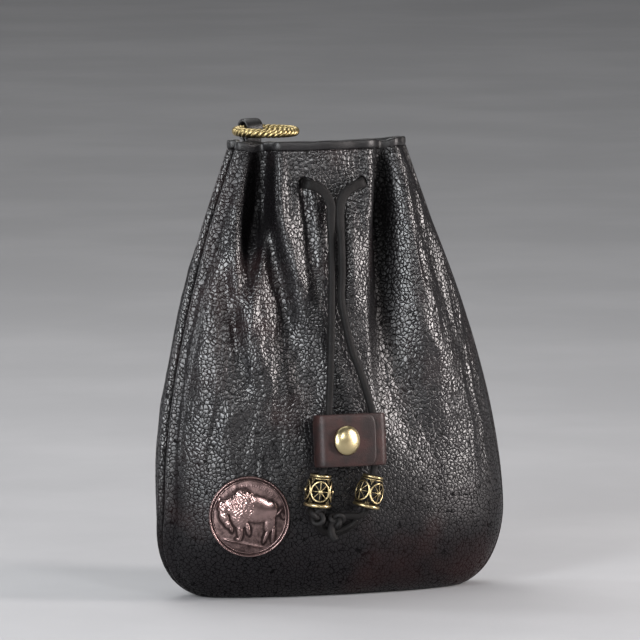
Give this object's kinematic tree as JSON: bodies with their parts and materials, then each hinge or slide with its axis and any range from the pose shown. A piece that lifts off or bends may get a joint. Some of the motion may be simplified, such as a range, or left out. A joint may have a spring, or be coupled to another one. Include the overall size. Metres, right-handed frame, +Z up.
{
  "type": "drawstring bag",
  "caption": "Small standing leather drawstring pouch for dice, with lace, slider, beads, concho and hanging ring.",
  "frame": {"origin": "middle of the flat patch that the bag stands on", "axes": "+X to the bag's right, +Y to its back, +Z up through the mouth"},
  "size_m": [0.0989, 0.0491, 0.1279],
  "materials": {
    "bag_leather": "pebbled, semi-gloss",
    "edge_leather": "smooth, burnished",
    "lace_leather": "matte",
    "strap_leather": "smooth, satin",
    "rivet_brass": "aged, satin",
    "bead_brass": "antique, worn high spots",
    "coin_copper": "antique, darkened recesses",
    "ring_brass": "antique"
  },
  "bodies": {
    "bag": {"front_panel": "bag_leather", "back_panel": "bag_leather", "seam_welt": "edge_leather", "rim_binding": "edge_leather", "drawcord": "lace_leather", "knot_left": "lace_leather", "knot_right": "lace_leather", "concho_cap": "coin_copper", "concho_screw": "rivet_brass", "hanger_tab": "edge_leather", "hanger_rivet": "rivet_brass"},
    "slider": {"slider_strap": "strap_leather", "slider_rivet_cap": "rivet_brass", "slider_rivet_post": "rivet_brass"},
    "bead_left": {"bead_left": "bead_brass"},
    "bead_right": {"bead_right": "bead_brass"},
    "ring": {"hanger_ring": "ring_brass"}
  },
  "joints": [
    {"name": "slider_slide", "type": "slide", "parent": "bag", "child": "slider", "axis": [0, 0.0993, 0.9951], "range_m": [0, 0.022]},
    {"name": "bead_left_spin", "type": "hinge", "parent": "bag", "child": "bead_left", "pos_m": [-0.0121, -0.0248, 0.0306], "axis": [0.1219, 0, 0.9925], "continuous": true},
    {"name": "bead_right_spin", "type": "hinge", "parent": "bag", "child": "bead_right", "pos_m": [0.0023, -0.0248, 0.0298], "axis": [0.2419, 0, 0.9703], "continuous": true},
    {"name": "ring_swing", "type": "hinge", "parent": "bag", "child": "ring", "pos_m": [-0.0186, 0.0116, 0.1249], "axis": [-0.9763, -0.2164, 0], "range_deg": [0, 245]}
  ]
}
